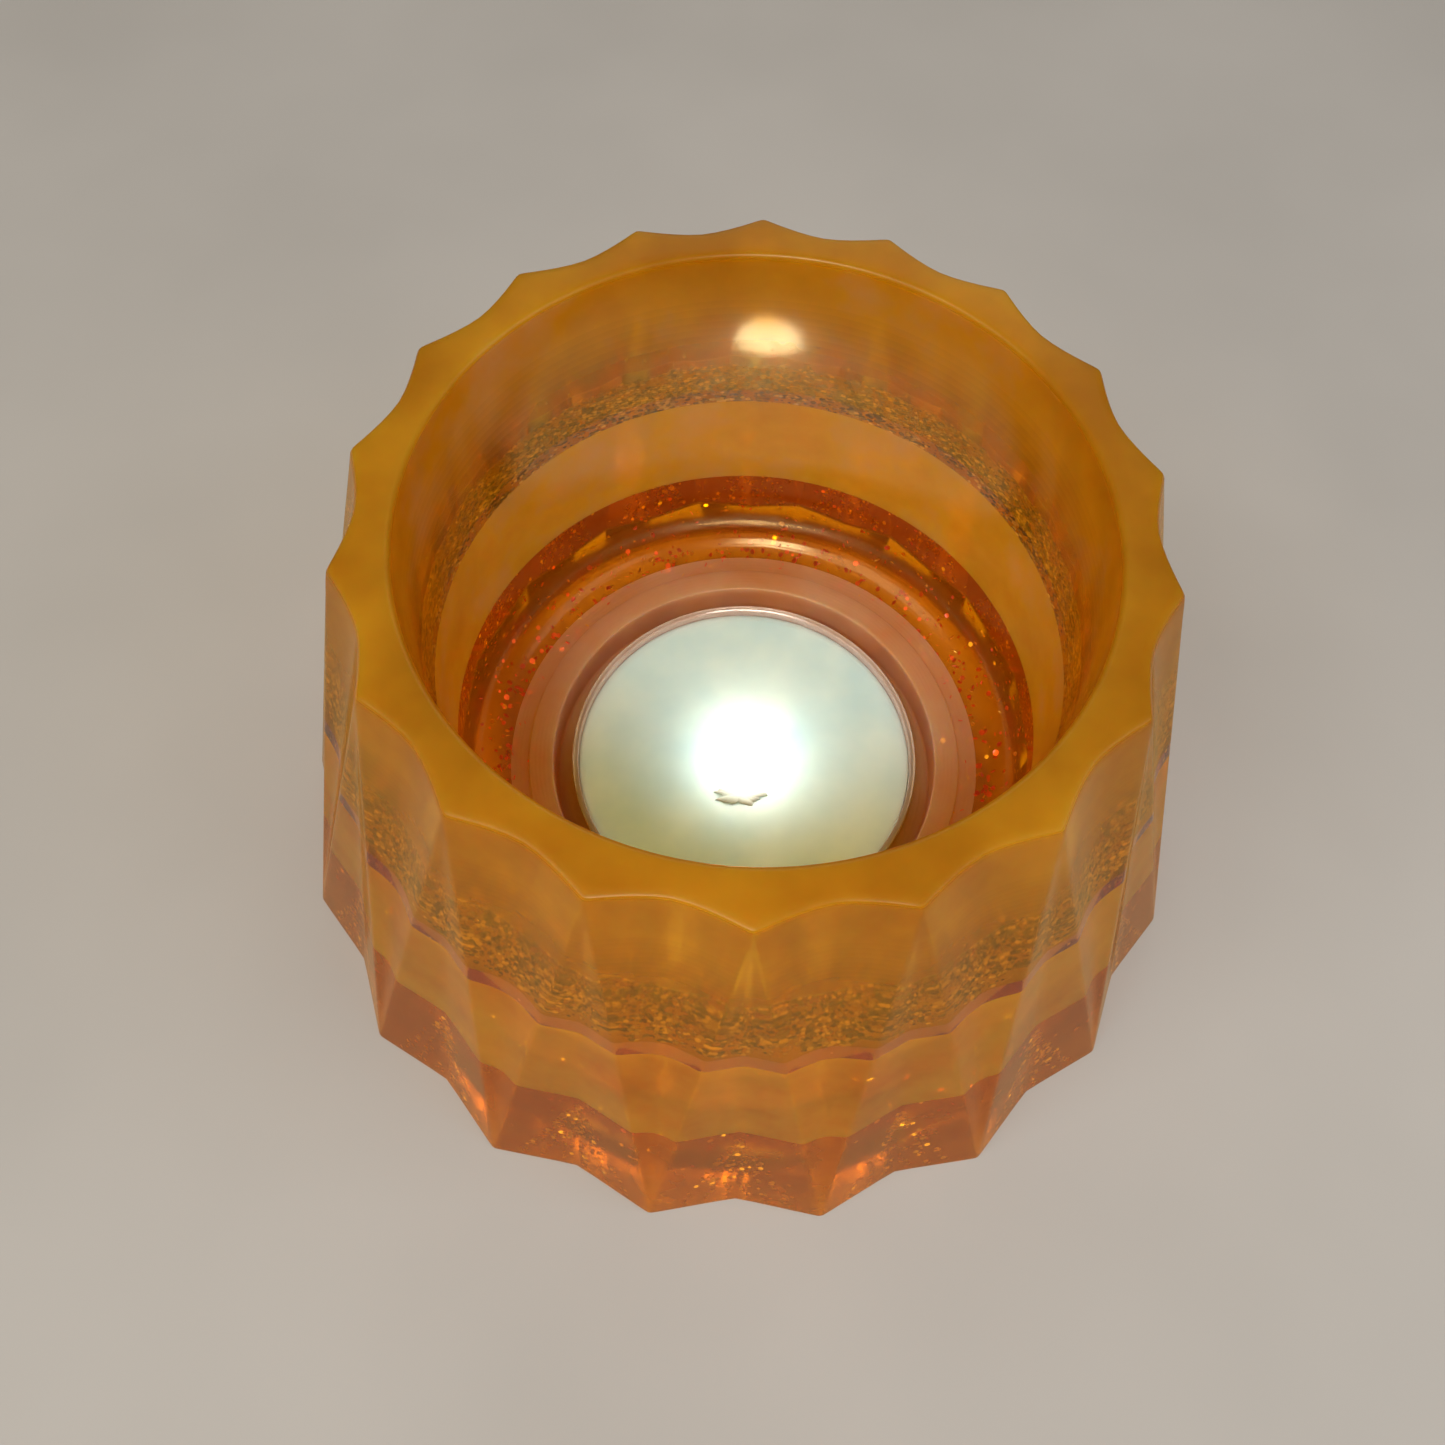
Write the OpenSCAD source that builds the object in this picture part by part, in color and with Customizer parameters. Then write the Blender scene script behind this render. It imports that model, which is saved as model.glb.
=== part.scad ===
// Tealight holder: an eighteen-pointed star cup cast in layers of amber resin,
// with a shallow seat in its floor for a 38 mm tealight in a clear cup.
// The outer wall flares from the rim star to a base star turned half a pitch,
// so that every flute between two rim points runs down to one base point.

/* [Star body] */
// Number of points around the rim and around the base
point_count = 18; // [12:1:24]
// Height of the casting
body_h = 50; // [40:1:70]
// Radius to the rim points
rim_point_r = 35; // [33:0.5:40]
// Depth of each rim valley, below the straight line between two points
rim_valley_sag = 1.3; // [0.5:0.1:1.6]
// Radius to the base points
base_point_r = 48.5; // [46:0.5:56]
// Radius to the base valleys
base_valley_r = 46.2; // [44:0.1:48]

/* [Bore and seat] */
// Radius of the straight bore
bore_r = 30; // [26:0.5:31]
// Height of the bore floor above the underside
floor_z = 5.2; // [5:0.1:8]
// Radius of the round where the bore wall meets the floor
foot_round = 5; // [2:0.5:6]
// Width of the bevel on the inner edge of the rim
rim_bevel = 0.5; // [0.2:0.1:1]
// Radius of the seat for the tealight
seat_r = 21.3; // [20:0.1:22.5]
// Resin left under the seat
seat_z = 1; // [0.8:0.1:1.5]
// Outer radius of the low lip around the seat
lip_r = 24; // [23:0.1:24.5]
// Height of that lip above the floor
lip_h = 0.4; // [0.2:0.1:0.8]

/* [Pours] */
// Top of the copper-red glitter pour
base_pour_top = 16.3; // [14:0.1:18]
// Top of the clear amber pour
middle_pour_top = 29.4; // [26:0.1:32]
// Thickness of the grainy layer that foamed up on it
grain_h = 1.8; // [1:0.1:4]

/* [Tealight] */
// Outer radius of the tealight cup
cup_r = 19; // [18:0.1:19.5]
// Height of the tealight cup
cup_h = 4.2; // [4:0.1:8]
// Thickness of the cup wall and floor
cup_wall = 0.4; // [0.3:0.05:0.6]
// Depth of wax in the cup
wax_h = 2.6; // [2.4:0.1:3.4]
// Gap between the wax and the cup wall
wax_gap = 0.05; // [0.02:0.01:0.1]
// Radius of the wick
wick_r = 0.75; // [0.5:0.05:1]
// Length of wick that stands above the wax
wick_free = 4.5; // [3:0.5:8]
// Radius of the metal tab under the wick
tab_r = 6; // [5:0.5:8]
// Thickness of that tab
tab_t = 0.25; // [0.2:0.05:0.4]
// Height of the crimped neck that grips the wick
neck_h = 1.8; // [1:0.1:2]

/* [Hidden] */

pitch = 360 / point_count;
valley_steps = 6;            // straight pieces in each rim valley
valley_power = 1.6;          // 1 is a plain V, 2 is a round hollow
grain_top = middle_pour_top + grain_h;
past = 1;                    // how far a cutting tool runs past a face
reach = base_point_r + 5;    // wider than the body
foot_steps = 6;
neck_wall = 0.25;
cup_inner_r = cup_r - cup_wall;
cup_floor = seat_z + cup_wall;
cup_corner = 1.4;            // outer round between the cup floor and its wall
cup_bead = 0.25;             // the rolled edge of the cup stands out by this
wax_r = cup_inner_r - wax_gap;
wax_corner = cup_corner - cup_wall;
wax_top = cup_floor + wax_h;
corner_steps = 5;
tab_z = cup_floor;
wick_z = tab_z + tab_t;
wick_h = wax_top + wick_free - wick_z;
fine = 96;

// A point of the rim, from point k (t = 0) to point k + 1 (t = 1).
function rim_xy(k, t) =
    let (a = rim_point_r * [sin(k * pitch), cos(k * pitch)],
         b = rim_point_r * [sin((k + 1) * pitch), cos((k + 1) * pitch)],
         straight = a + (b - a) * t,
         sag = rim_valley_sag * (1 - pow(abs(2 * t - 1), valley_power)))
    straight * (1 - sag / norm(straight));

function base_xy(k, r) = r * [sin(k * pitch), cos(k * pitch)];

// Rim points first, then a valley and a point of the base for each pitch, and
// last the middle of the top and the middle of the underside.
rim_count = point_count * valley_steps;
rim_points = [for (k = [0:point_count - 1], i = [0:valley_steps - 1])
    [each rim_xy(k, i / valley_steps), body_h]];
base_points = [for (k = [0:point_count - 1], half = [0, 1])
    [each base_xy(k + half / 2, half == 0 ? base_valley_r : base_point_r), 0]];
function rim_at(i) = i % rim_count;
function base_at(i) = rim_count + (i + 2 * point_count) % (2 * point_count);

flute_faces = [for (k = [0:point_count - 1], i = [0:valley_steps - 1])
    [base_at(2 * k + 1), rim_at(k * valley_steps + i + 1), rim_at(k * valley_steps + i)]];
valley_faces = [for (k = [0:point_count - 1], side = [0, 1])
    side == 0 ? [base_at(2 * k), base_at(2 * k + 1), rim_at(k * valley_steps)]
              : [base_at(2 * k - 1), base_at(2 * k), rim_at(k * valley_steps)]];
top_middle = rim_count + 2 * point_count;
top_faces = [for (i = [0:rim_count - 1]) [rim_at(i), rim_at(i + 1), top_middle]];
bottom_faces = [for (i = [0:2 * point_count - 1])
    [base_at(i + 1), base_at(i), top_middle + 1]];

module star_body() {
    polyhedron(points = concat(rim_points, base_points, [[0, 0, body_h], [0, 0, 0]]),
               faces = concat(flute_faces, valley_faces, top_faces, bottom_faces));
}

module slab(z0, z1) {
    translate([0, 0, z0])
        cylinder(r = reach, h = z1 - z0, $fn = fine);
}

// The air inside the casting: the seat, the bore and the bevelled mouth.
module bore_space() {
    foot = [for (i = [0:foot_steps])
        let (a = 90 * i / foot_steps)
        [bore_r - foot_round + foot_round * sin(a),
         floor_z + foot_round - foot_round * cos(a)]];
    rotate_extrude($fn = fine)
        polygon(concat(
            [[0, seat_z], [seat_r, seat_z], [seat_r, floor_z + lip_h],
             [lip_r, floor_z + lip_h], [lip_r, floor_z]],
            foot,
            [[bore_r, body_h - rim_bevel], [bore_r + rim_bevel, body_h],
             [bore_r + rim_bevel, body_h + past], [0, body_h + past]]));
}

// One pour: the star body between two levels, with the bore cut out.
module pour(z0, z1) {
    difference() {
        intersection() {
            star_body();
            slab(z0, z1);
        }
        bore_space();
    }
}

module base_pour() {
    color("sienna")
        pour(-past, base_pour_top);
}

module middle_pour() {
    color("goldenrod")
        pour(base_pour_top, middle_pour_top);
}

module grain_ring() {
    color("olive")
        pour(middle_pour_top, grain_top);
}

module top_pour() {
    color("darkgoldenrod")
        pour(grain_top, body_h + past);
}

// A quarter round in the (radius, height) plane, from the floor to the wall.
function corner(r, z, round) = [for (i = [0:corner_steps])
    let (a = 90 * i / corner_steps)
    [r - round + round * sin(a), z + round - round * cos(a)]];

module turned(outline) {
    rotate_extrude($fn = fine)
        polygon(outline);
}

module tealight_cup() {
    rim_z = seat_z + cup_h;
    color("whitesmoke")
        difference() {
            turned(concat([[0, seat_z]], corner(cup_r, seat_z, cup_corner),
                          [[cup_r, rim_z - 2 * cup_bead],
                           [cup_r + cup_bead, rim_z - cup_bead],
                           [cup_r, rim_z], [0, rim_z]]));
            turned(concat([[0, cup_floor]], corner(cup_inner_r, cup_floor, wax_corner),
                          [[cup_inner_r, rim_z + past], [0, rim_z + past]]));
        }
}

module tab_and_neck() {
    translate([0, 0, tab_z])
        cylinder(r = tab_r, h = tab_t, $fn = fine);
    translate([0, 0, tab_z])
        cylinder(r = wick_r + neck_wall, h = tab_t + neck_h, $fn = fine);
}

module wick_space() {
    translate([0, 0, wick_z])
        cylinder(r = wick_r, h = wick_h + past, $fn = fine);
}

module wax() {
    color("honeydew")
        difference() {
            turned(concat([[0, cup_floor]], corner(wax_r, cup_floor, wax_corner),
                          [[wax_r, wax_top], [0, wax_top]]));
            tab_and_neck();
            wick_space();
        }
}

module wick_tab() {
    color("silver")
        difference() {
            tab_and_neck();
            wick_space();
        }
}

module wick() {
    color("dimgray")
        translate([0, 0, wick_z])
            cylinder(r = wick_r, h = wick_h, $fn = fine);
}

base_pour();
middle_pour();
grain_ring();
top_pour();
tealight_cup();
wax();
wick_tab();
wick();
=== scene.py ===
"""The looks of the tealight holder: an amber resin star cast in four pours, and its burning tealight."""

import math
import random

import bmesh
import bpy
import numpy as np
from mathutils import Matrix, Vector


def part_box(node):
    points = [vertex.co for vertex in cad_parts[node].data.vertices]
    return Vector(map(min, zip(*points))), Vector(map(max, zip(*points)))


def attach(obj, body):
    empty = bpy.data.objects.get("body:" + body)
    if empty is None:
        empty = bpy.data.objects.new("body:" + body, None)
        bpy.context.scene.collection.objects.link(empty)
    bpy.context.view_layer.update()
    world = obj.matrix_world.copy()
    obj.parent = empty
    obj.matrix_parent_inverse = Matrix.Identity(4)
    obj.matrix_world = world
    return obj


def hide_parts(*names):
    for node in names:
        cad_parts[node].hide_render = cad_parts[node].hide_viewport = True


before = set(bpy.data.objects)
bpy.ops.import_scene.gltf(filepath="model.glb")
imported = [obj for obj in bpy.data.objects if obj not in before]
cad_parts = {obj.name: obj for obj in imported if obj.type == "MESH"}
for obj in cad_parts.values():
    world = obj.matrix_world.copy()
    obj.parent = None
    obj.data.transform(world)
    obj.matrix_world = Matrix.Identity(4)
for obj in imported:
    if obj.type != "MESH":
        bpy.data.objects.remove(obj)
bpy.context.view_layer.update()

MM = 0.001


def inside(node):
    """(lowest, highest) corner of a CAD node in millimetres."""
    low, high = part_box(node)
    return np.array(low) / MM, np.array(high) / MM


# ---------------------------------------------------------------- sizes, in mm

POINTS = 18
PITCH = 2 * math.pi / POINTS
BODY_H = inside("top_pour")[1][2]
BASE_TOP = inside("base_pour")[1][2]
GRAIN_LOW = inside("grain_ring")[0][2]
GRAIN_HIGH = inside("grain_ring")[1][2]
BASE_POINT_R = inside("base_pour")[1][0]
BASE_VALLEY_R = 46.2
RIM_POINT_R = 35.0
RIM_VALLEY_SAG = 1.3
VALLEY_POWER = 1.6  # 1 is a plain V, 2 is a round hollow
BORE_R = 30.0
RIM_BEVEL = 0.5
FLOOR_Z = 5.2
FOOT_ROUND = 5.0
LIP_R = 24.0
LIP_H = 0.4
SEAT_R = 21.3
SEAT_Z = inside("tealight_cup")[0][2]

CUP_R = 19.0
CUP_TOP = inside("tealight_cup")[1][2]
CUP_WALL = 0.4
WAX_LOW = inside("wax")[0][2]
WAX_TOP = inside("wax")[1][2]
WAX_R = inside("wax")[1][0]
TAB_R = inside("wick_tab")[1][0]
TAB_TOP = inside("wick_tab")[1][2]
TAB_T = 0.25
WICK_R = inside("wick")[1][0]
WICK_LOW = inside("wick")[0][2]
WICK_TOP = inside("wick")[1][2]

EDGE = 0.45  # half the width over which the cast ridges are rounded
BOND_GAP = 0.01  # each pour stops this far short of the bond, so that no two faces share a place


# ---------------------------------------------------------------- mesh helpers


def piece_from(name, points, faces, smooth=True):
    """A mesh piece from points in mm."""
    mesh = bpy.data.meshes.new(name)
    mesh.from_pydata([tuple(p * MM) for p in np.asarray(points, float)], [], faces)
    shell = bmesh.new()
    shell.from_mesh(mesh)
    bmesh.ops.recalc_face_normals(shell, faces=shell.faces)
    shell.to_mesh(mesh)
    shell.free()
    piece = bpy.data.objects.new(name, mesh)
    bpy.context.scene.collection.objects.link(piece)
    if smooth:
        mesh.polygons.foreach_set("use_smooth", [True] * len(mesh.polygons))
    return piece


def sharpen(piece, degrees):
    """Edges that turn by more than this many degrees stay crisp."""
    piece.data.set_sharp_from_angle(angle=math.radians(degrees))


def finish_piece(piece, body, slot, *replaced, materials):
    """Gives a piece its materials and the body it rides on, and hides the CAD nodes it stands for. slot is
    not used.
    """
    for material in materials:
        piece.data.materials.append(material)
    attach(piece, body)
    if replaced:
        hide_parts(*replaced)
    return piece


def bridged(rings, closed, skins=None):
    """Points, faces and face skins of a shell through rings of equal count. closed joins the last ring
    to the first."""
    count = len(rings[0])
    points = np.concatenate(rings)
    faces, face_skins = [], []
    last = len(rings) if closed else len(rings) - 1
    for i in range(last):
        low, high = i * count, (i + 1) % len(rings) * count
        for j in range(count):
            k = (j + 1) % count
            faces.append((low + j, low + k, high + k, high + j))
            face_skins.append(skins[i] if skins else None)
    return points, faces, face_skins


def capped(rings, skins=None, cap_skins=(None, None)):
    """The same, with the first and last ring each closed by a fan to its middle."""
    points, faces, face_skins = bridged(rings, False, skins)
    count = len(rings[0])
    middles = np.array([rings[0].mean(axis=0), rings[-1].mean(axis=0)])
    first = len(points)
    top = first - count
    for j in range(count):
        k = (j + 1) % count
        faces.append((first, k, j))
        faces.append((first + 1, top + j, top + k))
        face_skins.extend(cap_skins)
    return np.concatenate([points, middles]), faces, face_skins


def circle_ring(r, z, angles):
    """A level ring of points, each at its angle from +y towards +x."""
    return np.column_stack([r * np.sin(angles), r * np.cos(angles), np.full(len(angles), z)])


def arc(r_mid, z_mid, radius, start, end, steps):
    """Points of an arc in the (radius, height) plane, angles in degrees from straight down."""
    return [
        (r_mid + radius * math.sin(a), z_mid - radius * math.cos(a))
        for a in np.radians(np.linspace(start, end, steps + 1))
    ]


# ---------------------------------------------------------------- the star outline


def rim_curve(k, t):
    """The rim from point k (t = 0) to point k + 1 (t = 1), an array of (x, y)."""
    a = RIM_POINT_R * np.array([math.sin(k * PITCH), math.cos(k * PITCH)])
    b = RIM_POINT_R * np.array([math.sin((k + 1) * PITCH), math.cos((k + 1) * PITCH)])
    straight = a + (b - a) * t[:, None]
    sag = RIM_VALLEY_SAG * (1 - np.abs(2 * t - 1) ** VALLEY_POWER)
    return straight * (1 - sag / np.linalg.norm(straight, axis=1))[:, None]


def base_curve(k, t):
    """The base from the point before rim point k (t = 0) by a valley to the point after it (t = 1)."""
    a, v, b = (
        r * np.array([math.sin((k + d) * PITCH), math.cos((k + d) * PITCH)])
        for r, d in ((BASE_POINT_R, -0.5), (BASE_VALLEY_R, 0), (BASE_POINT_R, 0.5))
    )
    t = t[:, None]
    return np.where(t < 0.5, a + (v - a) * 2 * t, v + (b - v) * (2 * t - 1))


def rounded(outline, reach):
    """A closed outline with its corners rounded: each point becomes the mean of the outline within reach."""
    loop = np.vstack([outline, outline[:1]])
    step = np.linalg.norm(np.diff(loop, axis=0), axis=1)
    along = np.concatenate([[0], np.cumsum(step)])
    total = along[-1]
    area = np.vstack([[0, 0], np.cumsum((loop[1:] + loop[:-1]) / 2 * step[:, None], axis=0)])

    def summed(s):
        turns = np.floor(s / total)
        s = s - turns * total
        i = np.clip(np.searchsorted(along, s, side="right") - 1, 0, len(step) - 1)
        part = s - along[i]
        share = part / np.maximum(step[i], 1e-9)
        here = loop[i] + (loop[i + 1] - loop[i]) * share[:, None]
        return area[i] + (loop[i] + here) / 2 * part[:, None] + turns[:, None] * area[-1]

    s = along[:-1]
    return (summed(s + reach) - summed(s - reach)) / (2 * reach)


# Columns crowd towards the ridges, where the rounding needs them.
COLUMNS_PER_FACET = 14
COLUMNS = (1 - np.cos(np.linspace(0, math.pi, COLUMNS_PER_FACET + 1)[:-1])) / 2
SHORT_OF_END = 0.004  # a facet never quite narrows to nothing, so that its columns stay apart


def star_outline(z):
    """The outer outline at height z. Flutes narrow to a base point, and the hollows between them to a rim
    point."""
    up = min(max(z / BODY_H, SHORT_OF_END), 1 - SHORT_OF_END)
    parts = []
    for k in range(POINTS):
        rim_point = rim_curve(k, np.array([0.0]))[0]
        base_point = base_curve(k, np.array([1.0]))[0]
        parts.append(rim_point + (base_curve(k, COLUMNS) - rim_point) * (1 - up))
        parts.append(base_point + (rim_curve(k, COLUMNS) - base_point) * up)
    return rounded(np.concatenate(parts), EDGE)


def star_ring(z, inset=0.0):
    """The outer outline as a ring of points, drawn in towards the axis by inset."""
    outline = star_outline(z)
    outline = outline * (1 - inset / np.linalg.norm(outline, axis=1))[:, None]
    return np.column_stack([outline, np.full(len(outline), z)])


ANGLES = np.arctan2(*star_outline(BODY_H / 2).T)  # the direction of each column, shared by every ring


def outer_rings(z0, z1, steps):
    """Rings of the outer outline from height z0 to z1."""
    return [star_ring(z) for z in np.linspace(z0, z1, steps + 1)]


def inner_rings(profile):
    """Round rings with the outline's columns, through a profile of (radius, height)."""
    return [circle_ring(r, z, ANGLES) for r, z in profile]


def between(ring_a, ring_b, steps):
    """Rings that lie between two rings, both ends left out."""
    return [ring_a + (ring_b - ring_a) * i / (steps + 1) for i in range(1, steps + 1)]


# ---------------------------------------------------------------- material helpers


def linear(hex_colour, alpha=1.0):
    """An sRGB hex colour as linear RGBA."""
    channels = [int(hex_colour[i : i + 2], 16) / 255 for i in (1, 3, 5)]
    return [c / 12.92 if c <= 0.04045 else ((c + 0.055) / 1.055) ** 2.4 for c in channels] + [alpha]


def add(tree, kind, inputs=None, stops=None, **settings):
    """Adds one node. An input is a value, a socket, or a node, whose first output then feeds it. stops are a
    ramp's places and colours."""
    made = tree.nodes.new(kind)
    for name, value in settings.items():
        setattr(made, name, value)
    for name, value in (inputs or {}).items():
        if isinstance(value, bpy.types.Node):
            value = value.outputs[0]
        if isinstance(value, bpy.types.NodeSocket):
            tree.links.new(value, made.inputs[name])
        else:
            made.inputs[name].default_value = value
    if stops:
        while len(made.color_ramp.elements) < len(stops):
            made.color_ramp.elements.new(0.5)
        for element, (place, colour) in zip(made.color_ramp.elements, stops):
            element.position = place
            element.color = colour
    return made


def new_material(name):
    """An empty node material and its node tree."""
    material = bpy.data.materials.new(name)
    material.use_nodes = True
    material.node_tree.nodes.clear()
    return material, material.node_tree


def finished(material, **shaders):
    """The material, with its output node fed by the Surface, and by the Volume if it has one."""
    add(material.node_tree, "ShaderNodeOutputMaterial", shaders)
    return material


def grain_size(mm):
    """The texture scale at which one cell of a noise is this many millimetres wide."""
    return 1 / (mm * MM)


def place_of(tree):
    """Where on the piece a point is."""
    return add(tree, "ShaderNodeTexCoord").outputs["Object"]


RESIN_IOR = 1.56
RESIN_TINT = "#FFE7A4"  # what the amber skin leaves of white light
FOAM_TINT = "#FFF4DC"


def lit_through(tree, glass, tint):
    """Clear resin that lamps shine through, so that what is cast inside is lit."""
    light = add(tree, "ShaderNodeLightPath")
    passing = add(tree, "ShaderNodeBsdfTransparent", {"Color": linear(tint)})
    return add(tree, "ShaderNodeMixShader", {0: light.outputs["Is Shadow Ray"], 1: glass, 2: passing})


def cast_resin(name, deep, pale, seeping, absorb, density, turning=0.0):
    """Tinted casting resin. deep and pale are its cloud colours, seeping is how much light its cloud lets
    through, and absorb and density tint the light in its depth. The faces carry how clear, rough, solid
    and worn the skin is: a bond between two pours isn't solid, and lets light pass. turning is the depth
    in mm of the rings that a tool left."""
    material, tree = new_material(name)
    place = place_of(tree)
    # Slow clouds where the dye didn't mix fully.
    cloud = add(
        tree,
        "ShaderNodeTexNoise",
        {"Vector": place, "Scale": grain_size(11), "Detail": 4.0, "Roughness": 0.55},
    )
    # A worn skin is scuffed to a dull pink.
    worn = add(tree, "ShaderNodeAttribute", attribute_name="worn")
    mixed = add(
        tree, "ShaderNodeMath", {0: cloud, 1: 0.7, 2: worn.outputs["Fac"]}, operation="MULTIPLY_ADD"
    )
    tint = add(
        tree,
        "ShaderNodeValToRGB",
        {"Fac": mixed},
        stops=[(0.22, linear(deep)), (0.48, linear(pale)), (0.95, linear("#E6C4A8"))],
    )
    # Fine dust and micro-bubbles under the skin.
    dust = add(tree, "ShaderNodeTexNoise", {"Vector": place, "Scale": grain_size(0.7), "Detail": 2.0})
    rough = add(tree, "ShaderNodeAttribute", attribute_name="rough")
    satin = add(
        tree, "ShaderNodeMath", {0: dust, 1: 0.08, 2: rough.outputs["Fac"]}, operation="MULTIPLY_ADD"
    )
    # The mould's faint waves, and the finer orange peel of the cured skin.
    wave = add(tree, "ShaderNodeTexNoise", {"Vector": place, "Scale": grain_size(7), "Detail": 1.0})
    peel = add(tree, "ShaderNodeTexNoise", {"Vector": place, "Scale": grain_size(1.1), "Detail": 3.0})
    waves = add(tree, "ShaderNodeBump", {"Strength": 0.25, "Distance": 0.08 * MM, "Height": wave})
    skin = add(
        tree,
        "ShaderNodeBump",
        {"Strength": 0.12, "Distance": 0.006 * MM, "Height": peel, "Normal": waves},
    )
    if turning:
        rings = add(
            tree,
            "ShaderNodeTexWave",
            {
                "Vector": place,
                "Scale": grain_size(1.4),
                "Distortion": 3.0,
                "Detail": 4.0,
                "Detail Scale": 0.4,
            },
            wave_type="RINGS",
            rings_direction="Z",
        )
        skin = add(
            tree,
            "ShaderNodeBump",
            {
                "Strength": rough.outputs["Fac"],
                "Distance": turning * MM,
                "Height": rings.outputs["Fac"],
                "Normal": skin,
            },
        )
    satin_cloud = add(
        tree,
        "ShaderNodeBsdfPrincipled",
        {
            "Base Color": tint,
            "Roughness": satin,
            "Normal": skin,
            "IOR": RESIN_IOR,
            "Specular IOR Level": 0.3,
            "Subsurface Weight": 0.6,
            "Subsurface Scale": 6 * MM,
            "Subsurface Radius": (1.0, 0.5, 0.15),
        },
    )
    # Cloud lets light seep through from the far side, so the resin glows when it is lit from within.
    seep = add(tree, "ShaderNodeBsdfTranslucent", {"Color": tint, "Normal": skin})
    glowing = add(tree, "ShaderNodeMixShader", {0: seeping, 1: satin_cloud, 2: seep})
    glass = add(
        tree,
        "ShaderNodeBsdfGlass",
        {"Color": linear(RESIN_TINT), "Roughness": satin, "IOR": RESIN_IOR, "Normal": skin},
    )
    clear_share = lit_through(tree, glass, RESIN_TINT)
    clear = add(tree, "ShaderNodeAttribute", attribute_name="clear")
    surface = add(tree, "ShaderNodeMixShader", {0: clear.outputs["Fac"], 1: glowing, 2: clear_share})
    solid = add(tree, "ShaderNodeAttribute", attribute_name="solid")
    bond = add(tree, "ShaderNodeBsdfTransparent")
    body = add(tree, "ShaderNodeMixShader", {0: solid.outputs["Fac"], 1: bond, 2: surface})
    volume = add(tree, "ShaderNodeVolumeAbsorption", {"Color": linear(absorb), "Density": density})
    return finished(material, Surface=body, Volume=volume)


# ---------------------------------------------------------------- materials


def amber_top_resin():
    """Polyester casting resin with amber dye, a little cloudy: satin honey-brown with a soft inner glow."""
    return cast_resin("cloudy amber casting resin", "#C4860C", "#E6AA1E", 0.38, "#FDFA1C", 250.0)


def amber_middle_resin():
    """The same resin with less cloud: the clearest and most golden band."""
    return cast_resin("clear amber casting resin", "#D4900A", "#F8C030", 0.40, "#FDFA1C", 240.0)


def glitter_base_resin():
    """The same resin dyed copper brown: dark, warm and clear enough to show the glitter in it. Its floor was
    turned flat, which left fine rings."""
    return cast_resin(
        "copper brown casting resin", "#A8560A", "#CC7812", 0.35, "#FBF21C", 270.0, turning=0.03
    )


def foam_resin():
    """Resin full of trapped bubbles: olive-brown specks with clear resin between them. Where the faces are
    clear there are no bubbles."""
    material, tree = new_material("foamed amber resin")
    place = place_of(tree)
    cells = add(
        tree, "ShaderNodeTexVoronoi", {"Vector": place, "Scale": grain_size(0.6), "Randomness": 1.0}
    )
    drift = add(tree, "ShaderNodeTexNoise", {"Vector": place, "Scale": grain_size(2.6), "Detail": 3.0})
    # Bubbles crowd where the foam is thick, and thin out between the clumps.
    crowd = add(
        tree,
        "ShaderNodeMapRange",
        {"Value": drift, "From Min": 0.35, "From Max": 0.62, "To Min": 0.30, "To Max": 0.72},
    )
    room = add(tree, "ShaderNodeMath", {0: crowd, 1: cells}, operation="SUBTRACT")
    free = add(tree, "ShaderNodeAttribute", attribute_name="clear")
    thick = add(
        tree, "ShaderNodeMath", {0: 0.92, 1: free.outputs["Fac"]}, operation="SUBTRACT", use_clamp=True
    )
    speck = add(
        tree,
        "ShaderNodeMapRange",
        {"Value": room, "From Min": -0.06, "From Max": 0.10, "To Max": thick},
    )
    tint = add(
        tree,
        "ShaderNodeValToRGB",
        {"Fac": cells.outputs["Color"]},
        stops=[(0.2, linear("#4A360E")), (0.55, linear("#8E6A1A")), (0.85, linear("#DCAC4C"))],
    )
    relief = add(tree, "ShaderNodeBump", {"Strength": 0.8, "Distance": 0.12 * MM, "Height": speck})
    crust = add(
        tree,
        "ShaderNodeBsdfPrincipled",
        {"Base Color": tint, "Roughness": 0.35, "IOR": 1.5, "Normal": relief},
    )
    seep = add(tree, "ShaderNodeBsdfTranslucent", {"Color": tint})
    foam = add(tree, "ShaderNodeMixShader", {0: 0.35, 1: crust, 2: seep})
    glass = add(tree, "ShaderNodeBsdfGlass", {"Color": linear(FOAM_TINT), "Roughness": 0.12, "IOR": 1.5})
    between_specks = lit_through(tree, glass, FOAM_TINT)
    solid = add(tree, "ShaderNodeAttribute", attribute_name="solid")
    bond = add(tree, "ShaderNodeBsdfTransparent")
    gap = add(tree, "ShaderNodeMixShader", {0: solid.outputs["Fac"], 1: bond, 2: between_specks})
    body = add(tree, "ShaderNodeMixShader", {0: speck, 1: gap, 2: foam})
    return finished(material, Surface=body)


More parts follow.
